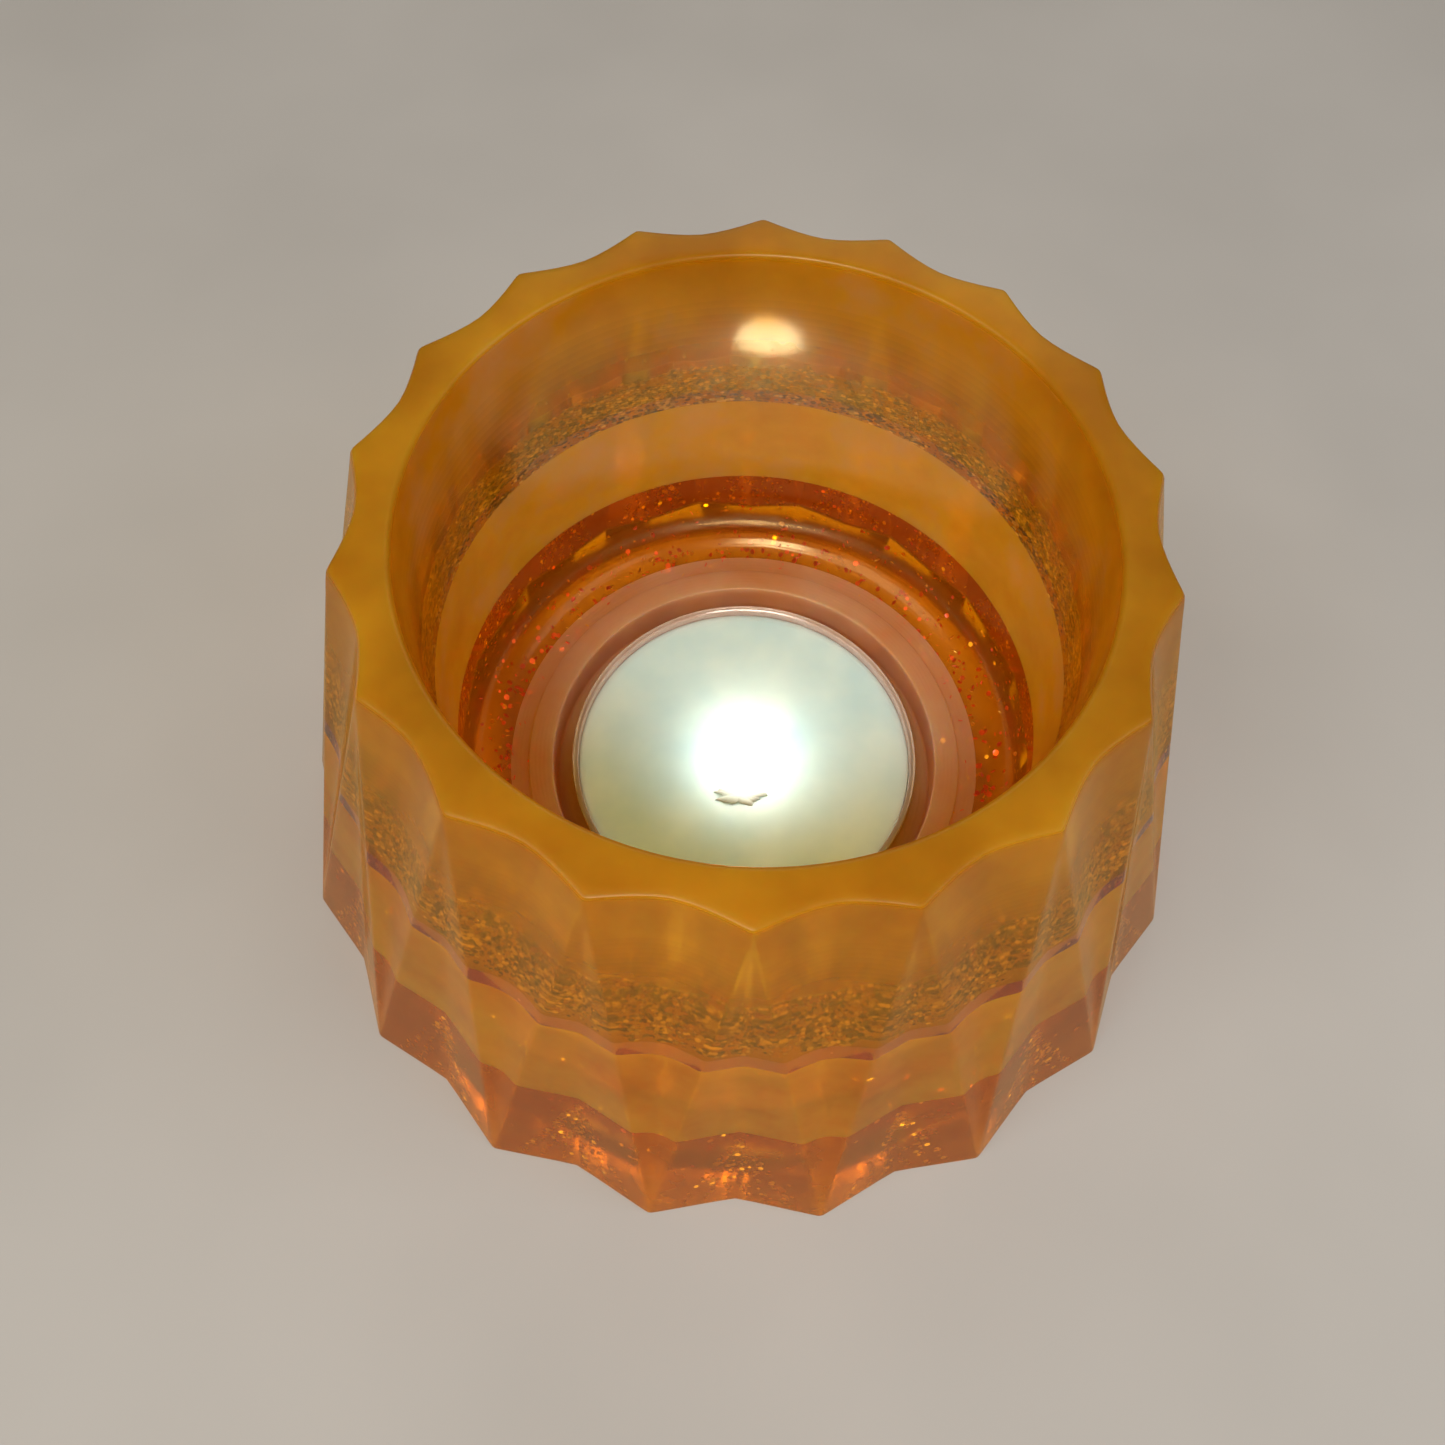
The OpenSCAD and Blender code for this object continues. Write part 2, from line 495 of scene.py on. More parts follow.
def candle_wax():
    """Paraffin wax, just molten on top: pale mint, with a soft sheen and the flame's light inside it."""
    material, tree = new_material("molten paraffin wax")
    place = place_of(tree)
    cloud = add(tree, "ShaderNodeTexNoise", {"Vector": place, "Scale": grain_size(9), "Detail": 3.0})
    tint = add(
        tree,
        "ShaderNodeValToRGB",
        {"Fac": cloud},
        stops=[(0.3, linear("#B8DCE8")), (0.7, linear("#D2EDF2"))],
    )
    ripple = add(tree, "ShaderNodeTexNoise", {"Vector": place, "Scale": grain_size(5), "Detail": 2.0})
    relief = add(tree, "ShaderNodeBump", {"Strength": 0.25, "Distance": 0.08 * MM, "Height": ripple})
    rough = add(
        tree,
        "ShaderNodeMapRange",
        {"Value": cloud, "From Min": 0.3, "From Max": 0.7, "To Min": 0.28, "To Max": 0.42},
    )
    surface = add(
        tree,
        "ShaderNodeBsdfPrincipled",
        {
            "Base Color": tint,
            "Roughness": rough,
            "IOR": 1.44,
            "Normal": relief,
            "Subsurface Weight": 0.8,
            "Subsurface Scale": 3 * MM,
            "Subsurface Radius": (0.8, 0.9, 1.0),
        },
    )
    return finished(material, Surface=surface)


def clear_cup_plastic():
    """Drawn polycarbonate: thin, clear and glossy, with a faint haze from handling."""
    material, tree = new_material("clear polycarbonate")
    place = place_of(tree)
    haze = add(tree, "ShaderNodeTexNoise", {"Vector": place, "Scale": grain_size(3), "Detail": 4.0})
    rough = add(
        tree,
        "ShaderNodeMapRange",
        {"Value": haze, "From Min": 0.3, "From Max": 0.7, "To Min": 0.04, "To Max": 0.16},
    )
    tint = add(
        tree,
        "ShaderNodeValToRGB",
        {"Fac": haze},
        stops=[(0.3, linear("#F2DCD0")), (0.7, linear("#FBF0EA"))],
    )
    scuff = add(tree, "ShaderNodeBump", {"Strength": 0.2, "Distance": 0.02 * MM, "Height": haze})
    surface = add(
        tree,
        "ShaderNodeBsdfPrincipled",
        {
            "Base Color": tint,
            "Roughness": rough,
            "IOR": 1.58,
            "Normal": scuff,
            "Transmission Weight": 0.7,
        },
    )
    return finished(material, Surface=surface)


def tab_steel():
    """Stamped tin-plated steel: bright, with rolling marks."""
    material, tree = new_material("tin-plated steel")
    place = place_of(tree)
    stretched = add(tree, "ShaderNodeMapping", {"Vector": place, "Scale": (1.0, 12.0, 1.0)})
    rolled = add(tree, "ShaderNodeTexNoise", {"Vector": stretched, "Scale": grain_size(1.2), "Detail": 3.0})
    tint = add(
        tree,
        "ShaderNodeValToRGB",
        {"Fac": rolled},
        stops=[(0.3, linear("#A8A69E")), (0.7, linear("#CFCCC2"))],
    )
    marks = add(tree, "ShaderNodeBump", {"Strength": 0.3, "Distance": 0.02 * MM, "Height": rolled})
    surface = add(
        tree,
        "ShaderNodeBsdfPrincipled",
        {"Base Color": tint, "Metallic": 1.0, "Roughness": 0.3, "Normal": marks},
    )
    return finished(material, Surface=surface)


def braided_cotton():
    """Braided cotton wick: pale and waxy below, charred black towards the tip."""
    material, tree = new_material("braided cotton wick")
    place = place_of(tree)
    height = add(tree, "ShaderNodeSeparateXYZ", {"Vector": place})
    char = add(
        tree,
        "ShaderNodeMapRange",
        {"Value": height.outputs["Z"], "From Min": WAX_TOP * MM, "From Max": (WAX_TOP + 2) * MM},
    )
    braid = add(tree, "ShaderNodeTexVoronoi", {"Vector": place, "Scale": grain_size(0.35)})
    tint = add(
        tree,
        "ShaderNodeValToRGB",
        {"Fac": char},
        stops=[(0.0, linear("#C8BFA6")), (0.5, linear("#4A3A28")), (1.0, linear("#120E0B"))],
    )
    strands = add(tree, "ShaderNodeBump", {"Strength": 0.8, "Distance": 0.1 * MM, "Height": braid})
    surface = add(
        tree,
        "ShaderNodeBsdfPrincipled",
        {"Base Color": tint, "Roughness": 0.85, "Normal": strands},
    )
    return finished(material, Surface=surface)


def candle_flame(low, high):
    """Glowing soot: warm at the foot, white-hot in the body and amber at the tip."""
    material, tree = new_material("candle flame")
    height = add(tree, "ShaderNodeSeparateXYZ", {"Vector": place_of(tree)})
    up = add(
        tree,
        "ShaderNodeMapRange",
        {"Value": height.outputs["Z"], "From Min": low * MM, "From Max": high * MM},
    )
    flicker = add(
        tree, "ShaderNodeTexNoise", {"Vector": place_of(tree), "Scale": grain_size(3), "Detail": 1.0}
    )
    wander = add(tree, "ShaderNodeMath", {0: flicker, 1: 0.12, 2: up}, operation="MULTIPLY_ADD")
    tint = add(
        tree,
        "ShaderNodeValToRGB",
        {"Fac": wander},
        stops=[
            (0.08, linear("#FFE2BC")),
            (0.3, linear("#FFFAF0")),
            (0.75, linear("#FFF4DC")),
            (1.0, linear("#FFCF7C")),
        ],
    )
    glow = add(tree, "ShaderNodeEmission", {"Color": tint, "Strength": FLAME_STRENGTH})
    return finished(material, Surface=glow)


def glitter_metal(name, colour):
    """Metallised polyester flake: a tiny tinted mirror."""
    material, tree = new_material(name)
    place = place_of(tree)
    wear = add(tree, "ShaderNodeTexNoise", {"Vector": place, "Scale": grain_size(0.4)})
    rough = add(
        tree,
        "ShaderNodeMapRange",
        {"Value": wear, "From Min": 0.3, "From Max": 0.7, "To Min": 0.3, "To Max": 0.5},
    )
    surface = add(
        tree,
        "ShaderNodeBsdfPrincipled",
        {"Base Color": linear(colour), "Metallic": 1.0, "Roughness": rough},
    )
    return finished(material, Surface=surface)


def trapped_air():
    """A bubble in the resin: light bends the other way at its skin, so it shows as a bright bead."""
    material, tree = new_material("trapped air")
    film = add(tree, "ShaderNodeTexNoise", {"Vector": place_of(tree), "Scale": grain_size(0.5)})
    tint = add(
        tree,
        "ShaderNodeValToRGB",
        {"Fac": film},
        stops=[(0.3, linear("#FFF2D0")), (0.7, linear("#FFFFFF"))],
    )
    surface = add(tree, "ShaderNodeBsdfGlass", {"Color": tint, "Roughness": 0.02, "IOR": 1 / RESIN_IOR})
    return finished(material, Surface=surface)


def pale_floor():
    """Painted plaster: pale, dull and faintly mottled."""
    material, tree = new_material("pale plaster floor")
    mottle = add(
        tree, "ShaderNodeTexNoise", {"Vector": place_of(tree), "Scale": grain_size(60), "Detail": 3.0}
    )
    tint = add(
        tree,
        "ShaderNodeValToRGB",
        {"Fac": mottle},
        stops=[(0.3, linear("#AFACA7")), (0.7, linear("#B8B5B0"))],
    )
    surface = add(tree, "ShaderNodeBsdfPrincipled", {"Base Color": tint, "Roughness": 0.7})
    return finished(material, Surface=surface)


# ---------------------------------------------------------------- the casting

# How clear, how rough, how solid and how worn each kind of skin is.
RIM_SKIN = (0.30, 0.28, 1.0, 0.0)
MIDDLE_SKIN = (0.50, 0.08, 1.0, 0.0)
BASE_SKIN = (0.58, 0.08, 1.0, 0.0)
MIDDLE_BORE_SKIN = (0.42, 0.06, 1.0, 0.16)
FOOT_SKIN = (0.84, 0.16, 1.0, 0.04)
BORE_SKIN = (0.88, 0.04, 1.0, 0.0)
FLOOR_SKIN = (0.40, 0.28, 1.0, 0.40)
SEAT_SKIN = (0.35, 0.30, 1.0, 0.45)
UNDER_SKIN = (0.94, 0.05, 1.0, 0.0)
BOND_SKIN = (1.0, 0.1, 0.03, 0.0)
FOAM_SKIN = (0.0, 0.1, 0.0, 0.0)
FOAM_FREE_SKIN = (1.0, 0.1, 0.0, 0.0)
FOAM_EDGE_SKIN = (1.0, 0.1, 1.0, 0.0)
FOAM_REACH_R = 37.3  # the foam drew back from the mould, and left clear resin outside it
FRESH_CLEAR = 0.86  # how clear the last pour is where it has no cloud
CLOUD_LOW = GRAIN_HIGH + 5
CLOUD_RISE = 9.0
CREASE_DEGREES = 24


def rising_cloud(z, rough, clear, worn):
    """The skin of the last pour at height z: fresh above the foam, and clouded to clear towards the rim."""
    up = min(max((z - CLOUD_LOW) / CLOUD_RISE, 0), 1)
    return (FRESH_CLEAR + (clear - FRESH_CLEAR) * up, rough, 1.0, worn)


def cast_piece(name, built, node, slot, resin):
    """A pour from its points, faces and skins. A skin is how clear, rough, solid and worn a face is."""
    points, faces, skins = built
    piece = piece_from(name, points, faces)
    for place, title in enumerate(("clear", "rough", "solid", "worn")):
        values = [skin[place] for skin in skins]
        piece.data.attributes.new(title, "FLOAT", "FACE").data.foreach_set("value", values)
    sharpen(piece, CREASE_DEGREES)
    return finish_piece(piece, "holder", slot, node, materials=[resin])


# The worn outer edge of the rim: the share of the bevel's height left, and how far it is drawn in.
RIM_EDGE = ((0.5, 0.06), (0.18, 0.18), (0.0, 0.42))


def top_pour(resin):
    low, shoulder = GRAIN_HIGH + BOND_GAP, BODY_H - RIM_BEVEL
    outside = outer_rings(low, shoulder, 30)
    edge = [star_ring(BODY_H - RIM_BEVEL * left, inset) for left, inset in RIM_EDGE]
    bevel = arc(BORE_R + RIM_BEVEL, shoulder, RIM_BEVEL, 180, 270, 4)
    wall = inner_rings(bevel + [(BORE_R, z) for z in np.linspace(BODY_H - 1, low, 20)])
    face = between(edge[-1], wall[0], 3)
    rings = outside + edge + face + wall
    skins = [rising_cloud(ring[0][2], 0.09, 0.48, 0.0) for ring in outside]
    skins += [RIM_SKIN] * (len(edge) + len(face) + len(bevel) - 1)
    skins += [rising_cloud(ring[0][2], 0.05, 0.40, 0.13) for ring in rings[len(skins) : -1]]
    skins.append(BOND_SKIN)
    built = bridged(rings, True, skins)
    return cast_piece("top_pour_resin", built, "top_pour", "cloudy_amber_resin", resin)


def clumps(seed, size, waves):
    """A wandering offset for each column, in mm."""
    fewest, most = 12, 110
    rng = np.random.default_rng(seed)
    total = np.zeros(len(ANGLES))
    for _ in range(waves):
        wave = np.sin(ANGLES * rng.integers(fewest, most) + rng.uniform(0, 2 * math.pi))
        total += wave * rng.uniform(0.4, 1)
    return total / waves**0.5 * size


def middle_pour(resin):
    low, high = BASE_TOP + BOND_GAP, GRAIN_LOW - BOND_GAP
    outside = outer_rings(low, high, 5)
    wall = inner_rings([(BORE_R, z) for z in np.linspace(high, low, 3)])
    skins = [MIDDLE_SKIN] * 5 + [BOND_SKIN] + [MIDDLE_BORE_SKIN] * 2 + [BOND_SKIN]
    built = bridged(outside + wall, True, skins)
    return cast_piece("middle_pour_resin", built, "middle_pour", "amber_resin", resin)


# The worn edge it stands on: height, and how far it is drawn in.
FOOT_EDGE = ((0.0, 0.25), (0.08, 0.08), (0.25, 0.0))
HUB_R = 3.0  # the middle of a flat face is closed by a fan inside this radius
LIP_ROUND = 0.2
SEAT_EDGE_ROUND = 0.25
SEAT_CORNER_ROUND = 0.5


def base_pour(resin):
    foot = [star_ring(z, inset) for z, inset in FOOT_EDGE]
    hub = circle_ring(HUB_R, 0.0, ANGLES)
    underside = between(hub, foot[0], 3)
    outside = foot + outer_rings(0.6, BASE_TOP - BOND_GAP, 7)
    lip_top = FLOOR_Z + LIP_H
    profile = (
        [(BORE_R, BASE_TOP - BOND_GAP), (BORE_R, FLOOR_Z + FOOT_ROUND)]
        + arc(BORE_R - FOOT_ROUND, FLOOR_Z + FOOT_ROUND, FOOT_ROUND, 90, 0, 8)[1:]
        + [(LIP_R, FLOOR_Z)]
        + arc(LIP_R - LIP_ROUND, lip_top - LIP_ROUND, LIP_ROUND, 90, 180, 3)
        + arc(SEAT_R + SEAT_EDGE_ROUND, lip_top - SEAT_EDGE_ROUND, SEAT_EDGE_ROUND, 180, 270, 4)
        + [(SEAT_R, SEAT_Z + SEAT_CORNER_ROUND)]
        + arc(SEAT_R - SEAT_CORNER_ROUND, SEAT_Z + SEAT_CORNER_ROUND, SEAT_CORNER_ROUND, 90, 0, 3)[1:]
        + [(12.0, SEAT_Z), (HUB_R, SEAT_Z)]
    )
    rings = [hub] + underside + outside + inner_rings(profile)
    skins = [UNDER_SKIN] * (len(underside) + 1) + [BASE_SKIN] * (len(outside) - 1) + [BOND_SKIN]
    skins += [BORE_SKIN] + [FOOT_SKIN] * 7 + [FLOOR_SKIN] * 2
    skins += [SEAT_SKIN] * (len(rings) - 1 - len(skins))
    built = capped(rings, skins, (UNDER_SKIN, SEAT_SKIN))
    return cast_piece("base_pour_resin", built, "base_pour", "glitter_resin", resin)


def grain_ring(resin):
    """The layer of foam that rose on the middle pour. It ends in ragged clumps short of the outside."""
    low, high = GRAIN_LOW + BOND_GAP, GRAIN_HIGH - BOND_GAP
    outside = outer_rings(low, high, 2)
    ragged = FOAM_REACH_R + clumps(31, 0.5, 14)

    def across(z, lumps):
        """The foam's ragged edge, and a ring halfway from it to the bore that the lumps move up and down."""
        rings = []
        for r in (ragged, (ragged + BORE_R) / 2):
            ring = circle_ring(1.0, z, ANGLES)
            ring[:, :2] *= r[:, None]
            rings.append(ring)
        rings[1][:, 2] += lumps
        return rings

    wall = inner_rings([(BORE_R, high), (BORE_R, (low + high) / 2), (BORE_R, low)])
    rings = outside + across(high, 0.0) + wall + across(low, clumps(51, 0.12, 12))[::-1]
    skins = [FOAM_EDGE_SKIN] * 2 + [FOAM_FREE_SKIN] + [FOAM_SKIN] * 2
    skins += [FOAM_EDGE_SKIN] * 2 + [FOAM_SKIN] * 2 + [FOAM_FREE_SKIN]
    built = bridged(rings, True, skins)
    return cast_piece("grain_ring_foam", built, "grain_ring", "foamed_resin", resin)


# ---------------------------------------------------------------- the tealight

TURN_ANGLES = np.linspace(0, 2 * math.pi, 193)[:-1]


def turned(name, profile, degrees=30):
    """A piece turned from a profile that starts and ends near the axis."""
    rings = [circle_ring(max(r, 0.01), z, TURN_ANGLES) for r, z in profile]
    piece = piece_from(name, *capped(rings)[:2])
    sharpen(piece, degrees)
    return piece


def tealight_cup(plastic):
    """Drawn cup: a raised middle underneath, a round corner, and a rolled edge."""
    z = SEAT_Z
    inner = CUP_R - CUP_WALL
    raised = 0.15
    corner = 1.4
    inner_corner = 1.0
    bead = 0.25
    profile = (
        [(0.5, z + raised), (14.0, z + raised), (15.0, z), (17.0, z)]
        + arc(CUP_R - corner, z + corner, corner, 0, 90, 6)
        + [(CUP_R, CUP_TOP - 2.4 * bead)]
        + arc(CUP_R, CUP_TOP - bead, bead, 60, 180, 6)
        + [(inner + 0.08, CUP_TOP), (inner, CUP_TOP - 0.12), (inner, z + corner)]
        + arc(inner - inner_corner, z + CUP_WALL + inner_corner, inner_corner, 90, 0, 6)
        + [(0.5, z + CUP_WALL)]
    )
    piece = turned("tealight_cup_shell", profile)
    return finish_piece(piece, "tealight", "clear_cup_plastic", "tealight_cup", materials=[plastic])


def wax_disc(wax):
    """The slug of wax: it clings up the cup wall at its edge, and dips round the wick, where it melts."""
    pool = WAX_TOP - 0.25
    hole_r = WICK_R + 0.1
    corner = 1.0
    # How far in from the edge, and how far up from the pool.
    clinging = [(0.0, 0.20), (0.08, 0.25), (0.35, 0.13), (0.9, 0.03)]
    # Radius and depth.
    dip = [(7.0, 0.02), (5.8, 0.18), (4.8, 0.34), (3.2, 0.4), (1.8, 0.32), (hole_r, 0.0)]
    profile = (
        [(hole_r, WAX_LOW + 0.3), (12.0, WAX_LOW)]
        + arc(WAX_R - corner, WAX_LOW + corner, corner, 0, 90, 6)
        + [(WAX_R - back, pool + up) for back, up in clinging]
        + [(r, pool) for r in (15.5, 12.0, 9.0)]
        + [(r, pool - depth) for r, depth in dip]
    )
    piece = turned("wax_slug", profile, 60)
    for vertex in piece.data.vertices:
        r = vertex.co.xy.length / MM
        if vertex.co.z / MM > WAX_TOP - 1 and 2 < r < 14:
            a = math.atan2(vertex.co.y, vertex.co.x)
            ragged = 0.5 * math.sin(3 * a + 0.6) + 0.28 * math.sin(7 * a + 2.0) + 0.12 * math.sin(13 * a)
            stretch = 1 + ragged * 0.22 * max(0.0, 1 - abs(r - 6) / 7)
            vertex.co.x *= stretch
            vertex.co.y *= stretch
    return finish_piece(piece, "candle", "candle_wax", "wax", materials=[wax])


def wax_crust(wax):
    """A ragged scrap of wax that hasn't melted yet, beside the wick."""
    around = 60
    half_length, half_width = 2.6, 1.1
    centre = (-0.4, -4.6)
    angles = np.linspace(0, 2 * math.pi, around + 1)[:-1]
    reach = 1 + 0.16 * np.sin(5 * angles + 1) + 0.12 * np.sin(9 * angles) + 0.08 * np.sin(17 * angles + 2)
    rings = []
    for share, depth in ((0.9, 0.75), (1.0, 0.6), (0.96, 0.32), (0.5, 0.22)):
        x = centre[0] + half_length * share * reach * np.cos(angles)
        y = centre[1] + half_width * share * reach * np.sin(angles)
        rings.append(np.column_stack([x, y, np.full(around, WAX_TOP - depth)]))
    piece = piece_from("wax_crust", *capped(rings)[:2])
    return finish_piece(piece, "candle", "candle_wax", materials=[wax])


def wick_tab(steel):
    """Stamped disc with a crimped neck that holds the wick upright."""
    neck_r = WICK_R + 0.25
    fillet = 0.3
    low, plate = WAX_LOW, WAX_LOW + TAB_T
    profile = (
        [(WICK_R * 0.5, low), (TAB_R - 0.3, low), (TAB_R, low + 0.08), (TAB_R, plate - 0.05)]
        + [(TAB_R - 0.1, plate), (TAB_R * 0.6, plate), (TAB_R * 0.5, plate), (neck_r + 0.5, plate)]
        + arc(neck_r + fillet, plate + fillet, fillet, 0, -90, 4)
        + [(neck_r, TAB_TOP - 0.1), (neck_r - 0.08, TAB_TOP), (WICK_R * 0.5, TAB_TOP)]
    )
    piece = turned("wick_tab_stamping", profile)
    return finish_piece(piece, "candle", "tab_metal", "wick_tab", materials=[steel])


def wick(cotton):
    """Three strands twisted together, drawn in at the charred tip."""
    steps, around = 40, 30
    turns = 2.2
    tip = 0.93
    angles = np.linspace(0, 2 * math.pi, around + 1)[:-1]
    rings = []
    for i in range(steps + 1):
        up = i / steps
        z = WICK_LOW + (WICK_TOP - 0.1 - WICK_LOW) * up
        twist = up * 2 * math.pi * turns
        r = WICK_R * (0.80 + 0.17 * np.abs(np.cos(1.5 * (angles - twist))))
        if up > tip:
            r = r * (1 - (up - tip) / (1 - tip) * 0.6)
        rings.append(np.column_stack([r * np.cos(angles), r * np.sin(angles), np.full(around, z)]))
    piece = piece_from("wick_braid", *capped(rings)[:2])
    return finish_piece(piece, "candle", "braided_wick", "wick", materials=[cotton])


FLAME_LOW = WAX_TOP + 1.2
FLAME_HIGH = FLAME_LOW + 6.2
FLAME_R = 2.4
FLAME_STRENGTH = 22.0


def flame(glow):
    """A teardrop: full in its lower third and drawn out to a soft tip."""
    steps, around = 30, 36
    angles = np.linspace(0, 2 * math.pi, around + 1)[:-1]
    rings = []
    for i in range(1, steps):
        up = i / steps
        r = FLAME_R * math.sin(math.pi * up**0.62) ** 0.9 * (1 - 0.25 * up)
        lean = 0.5 * up**2
        z = FLAME_LOW + (FLAME_HIGH - FLAME_LOW) * up
        rings.append(np.column_stack([lean + r * np.cos(angles), r * np.sin(angles), np.full(around, z)]))
    piece = piece_from("candle_flame_glow", *capped(rings)[:2])
    return finish_piece(piece, "candle", None, materials=[glow])


# ---------------------------------------------------------------- glitter and bubbles

FLAKE_T = 0.12  # thickness, as a share of a flake's radius


def flake(rng, centre, size):
    """A thin six-sided plate at a chance angle, as points and faces numbered from 0."""
    turn = Matrix.Rotation(rng.uniform(0, 2 * math.pi), 3, "Z")
    tilt = Matrix.Rotation(math.acos(rng.uniform(0.2, 1.0)), 3, "X")
    pose = turn @ tilt
    points = []
    for z in (-FLAKE_T / 2, FLAKE_T / 2):
        for k in range(6):
            a = k * math.pi / 3
            points.append(Vector(centre) + pose @ Vector((math.cos(a), math.sin(a), z)) * size)
    faces = [(5, 4, 3, 2, 1, 0), (6, 7, 8, 9, 10, 11)]
    faces += [(k, (k + 1) % 6, 6 + (k + 1) % 6, 6 + k) for k in range(6)]
    return points, faces


def outer_limit(angle, z):
    """The casting's outer radius in that direction, at about that height."""
    outline = OUTLINES[min(int(z), len(OUTLINES) - 1)]
    return np.interp(angle % (2 * math.pi), outline[0], outline[1])


def outline_table(z):
    """The outline's directions in rising order and its radius in each."""
    outline = star_outline(z)
    angle = np.arctan2(outline[:, 0], outline[:, 1]) % (2 * math.pi)
    order = np.argsort(angle)
    return angle[order], np.linalg.norm(outline, axis=1)[order]


OUTLINES = [outline_table(z) for z in range(int(BODY_H))]


def glitter(name, seed, count, material, places):
    """Flakes scattered by places, a function from a random source to a centre and a size in mm."""
    rng = random.Random(seed)
    points, faces = [], []
    for _ in range(count):
        centre, size = places(rng)
        flake_points, flake_faces = flake(rng, centre, size)
        start = len(points)
        points.extend(flake_points)
        faces.extend(tuple(start + i for i in face) for face in flake_faces)
    piece = piece_from(name, np.array([tuple(p) for p in points]), faces, smooth=False)
    return finish_piece(piece, "holder", "glitter_resin", materials=[material])


def at(r, angle, z):
    """The point at a radius, an angle from +y towards +x, and a height."""
    return (r * math.sin(angle), r * math.cos(angle), z)


def in_floor(rng):
    """Under the skin of the floor, thickest where the floor meets the wall."""
    r = rng.triangular(SEAT_R + 0.6, BORE_R + 1.5, BORE_R - 3.2)
    top = FLOOR_Z
    if r > BORE_R - FOOT_ROUND:
        reach = min(r - (BORE_R - FOOT_ROUND), FOOT_ROUND)
        top = FLOOR_Z + FOOT_ROUND - math.sqrt(max(FOOT_ROUND**2 - reach**2, 0))
    z = max(0.6, top - rng.uniform(0.08, 0.5))
    return at(r, rng.uniform(0, 2 * math.pi), z), rng.uniform(0.15, 0.4)


def in_base_wall(rng):
    """Through the thickness of the base pour."""
    angle = rng.uniform(0, 2 * math.pi)
    z = rng.uniform(0.7, BASE_TOP - 0.6)
    r = rng.uniform(BORE_R + 1, outer_limit(angle, z) - 0.6)
    return at(r, angle, z), rng.uniform(0.14, 0.34)


def on_bond(rng):
    """Settled on the top of the base pour before the next pour went in."""
    angle = rng.uniform(0, 2 * math.pi)
    r = rng.uniform(BORE_R + 0.5, outer_limit(angle, BASE_TOP) - 0.4)
    return at(r, angle, BASE_TOP - rng.uniform(0.2, 0.7)), rng.uniform(0.12, 0.26)


def in_upper_wall(rng):
    """A few flakes that drifted up into the amber pours."""
    angle = rng.uniform(0, 2 * math.pi)
    z = BASE_TOP + 0.5 + (GRAIN_LOW - 1 - BASE_TOP) * rng.random() ** 1.6
    r = rng.uniform(BORE_R + 0.6, outer_limit(angle, z) - 0.6)
    return at(r, angle, z), rng.uniform(0.12, 0.22)


def in_painted_reflection_fan(rng):
    """Gold flakes on the mould's hollow facets, in rays that spread downwards from each rim point: a painted
    reflection of the candle light that these facets throw back inside the resin.
    """
    ray = rng.choice((-1.0, -0.6, -0.2, 0.2, 0.6, 1.0))
    up = rng.random()
    spread = 0.34 * (1 - up)  # in pitches, from the middle of the fan to its outer rays
    angle = (rng.randrange(POINTS) + ray * spread) * PITCH + rng.uniform(-0.01, 0.01)
    z = 0.8 + (BASE_TOP - 2.6) * up
    return at(outer_limit(angle, z) - 0.5, angle, z), rng.uniform(0.16, 0.34)


def bubbles(name, seed, count, material):
    """Round bubbles of chance size in the last pour, most of them close above the foam."""
    rng = random.Random(seed)
    points, faces = [], []
    turn = np.linspace(0, 2 * math.pi, 13)[:-1]
    slopes = np.linspace(0.15, math.pi - 0.15, 7)
    for _ in range(count):
        angle = rng.uniform(0, 2 * math.pi)
        z = GRAIN_HIGH + 0.8 + (BODY_H - 3 - GRAIN_HIGH) * rng.random() ** 2
        r = rng.uniform(BORE_R + 0.9, outer_limit(angle, z) - 0.8)
        size = rng.uniform(0.12, 0.38)
        middle = np.array(at(r, angle, z))
        rings = [middle + size * circle_ring(math.sin(a), math.cos(a), turn) for a in slopes]
        bubble_points, bubble_faces, _ = capped(rings)
        faces.extend(tuple(len(points) + i for i in face) for face in bubble_faces)
        points.extend(bubble_points)
    piece = piece_from(name, np.array(points), faces)
    return finish_piece(piece, "holder", "cloudy_amber_resin", materials=[material])


# ---------------------------------------------------------------- making

cloudy = amber_top_resin()
clear = amber_middle_resin()
copper = glitter_base_resin()
top_pour(cloudy)
middle_pour(clear)
base_pour(copper)
grain_ring(foam_resin())
tealight_cup(clear_cup_plastic())
wax = candle_wax()
wax_disc(wax)
wax_crust(wax)
wick_tab(tab_steel())
wick(braided_cotton())
flame(candle_flame(FLAME_LOW, FLAME_HIGH))

bubbles("trapped_bubbles", 21, 130, trapped_air())
red_flake = glitter_metal("red glitter", "#FF8270")
gold_flake = glitter_metal("gold glitter", "#FFD560")
glitter("floor_glitter_red", 11, 900, red_flake, in_floor)
glitter("floor_glitter_gold", 12, 260, gold_flake, in_floor)
glitter("wall_glitter_red", 13, 260, red_flake, in_base_wall)
glitter("wall_glitter_gold", 14, 420, gold_flake, in_base_wall)
glitter("bond_glitter_gold", 16, 700, gold_flake, on_bond)
glitter("stray_glitter_gold", 15, 120, gold_flake, in_upper_wall)
# Gold flakes in fans on the hollow facets: a painted reflection of the candle light in those facets.
glitter("fan_glitter_gold_painted_reflection", 17, 3600, gold_flake, in_painted_reflection_fan)


# ---------------------------------------------------------------- floor, light and camera


def floor_plane():
    """A wide floor, just under the holder so that the two faces don't share a place."""
    reach = 3000.0
    corners = np.array([(-reach, -reach, 0), (reach, -reach, 0), (reach, reach, 0), (-reach, reach, 0)])
    plane = piece_from("floor", corners, [(0, 1, 2, 3)], smooth=False)
    plane.data.materials.append(pale_floor())
    plane.location.z = -0.02 * MM


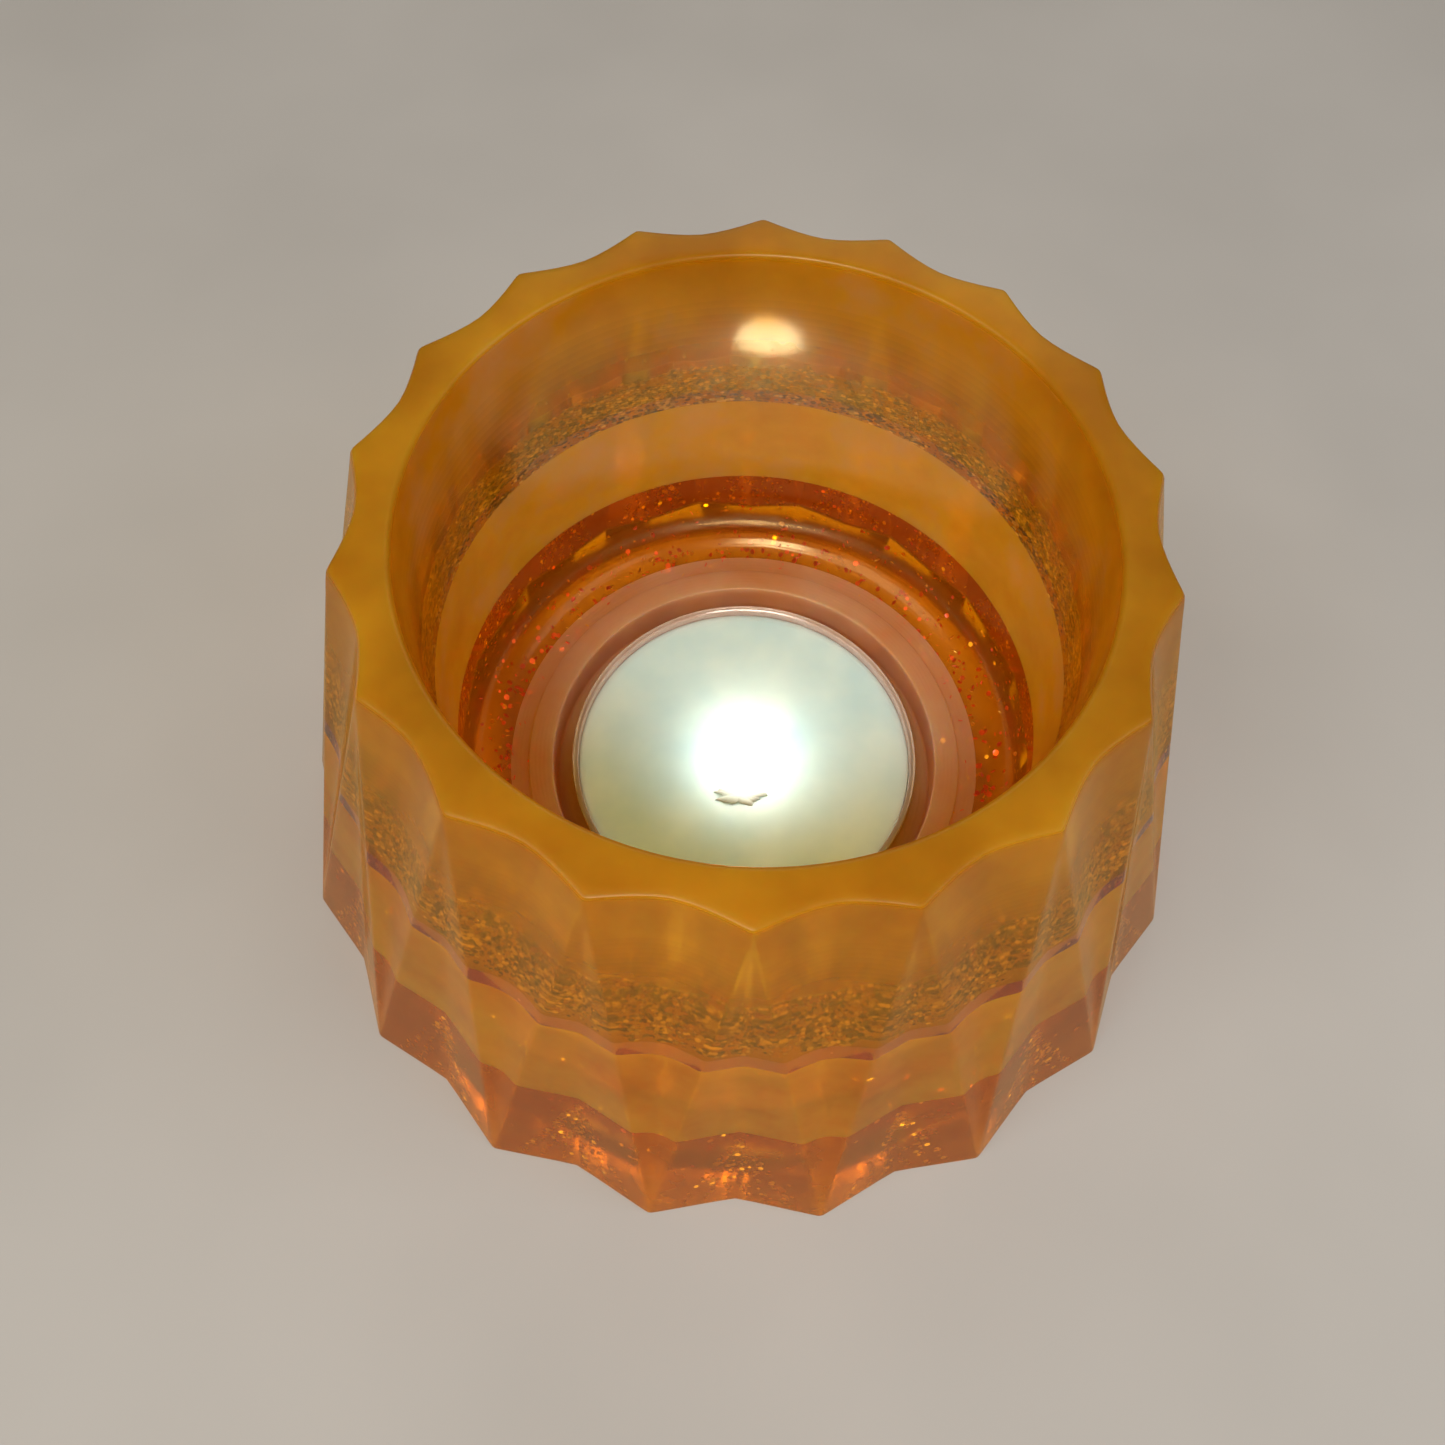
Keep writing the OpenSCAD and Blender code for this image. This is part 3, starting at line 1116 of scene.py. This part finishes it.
def soft_box(name, place, size, power, colour):
    """A square softbox at place, in mm, turned towards the holder."""
    light = bpy.data.lights.new(name, "AREA")
    light.shape = "SQUARE"
    light.size = size * MM
    light.energy = power
    light.color = linear(colour)[:3]
    lamp = bpy.data.objects.new(name, light)
    lamp.location = Vector(place) * MM
    lamp.rotation_mode = "QUATERNION"
    lamp.rotation_quaternion = (Vector((0, 0, BODY_H / 2 * MM)) - lamp.location).to_track_quat("-Z", "Y")
    bpy.context.scene.collection.objects.link(lamp)


def camera(distance, elevation, azimuth, roll, lens, shift):
    """A camera this far in mm from the holder's middle, with its angles in degrees."""
    data = bpy.data.cameras.new("camera")
    data.lens = lens
    data.sensor_width = 36
    data.shift_x, data.shift_y = shift
    data.clip_start = 0.01
    data.clip_end = 20
    eye = bpy.data.objects.new("camera", data)
    e, a, turn = (math.radians(degrees) for degrees in (elevation, azimuth, roll))
    back = Vector((math.sin(a) * math.cos(e), -math.cos(a) * math.cos(e), math.sin(e)))
    level = Vector((math.cos(a), math.sin(a), 0))
    upright = back.cross(level)
    right = level * math.cos(turn) + upright * math.sin(turn)
    up = upright * math.cos(turn) - level * math.sin(turn)
    place = Vector((0, 0, BODY_H / 2 * MM)) + back * distance * MM
    axes = Matrix((right, up, back)).transposed().to_4x4()
    eye.matrix_world = Matrix.Translation(place) @ axes
    bpy.context.scene.collection.objects.link(eye)
    bpy.context.scene.camera = eye


def studio():
    """A dim warm-white room and four softboxes."""
    world = bpy.data.worlds.new("studio")
    world.use_nodes = True
    backdrop = world.node_tree.nodes["Background"]
    backdrop.inputs["Color"].default_value = linear("#E2E0DC")
    backdrop.inputs["Strength"].default_value = 0.14
    bpy.context.scene.world = world
    soft_box("camera_light", (-60, -330, 560), 160, 2.5, "#FFF8EE")
    soft_box("key_light", (-420, -260, 620), 420, 1.7, "#FFF6EA")
    soft_box("fill_light", (520, -180, 420), 500, 1.3, "#F2F5FF")
    soft_box("back_light", (80, 600, 420), 420, 0.6, "#FFF3E2")
    bpy.context.scene.view_settings.view_transform = "Standard"


floor_plane()
studio()
camera(distance=129.5, elevation=61.0, azimuth=-2.3, roll=3.6, lens=32.6, shift=(-0.019, -0.039))
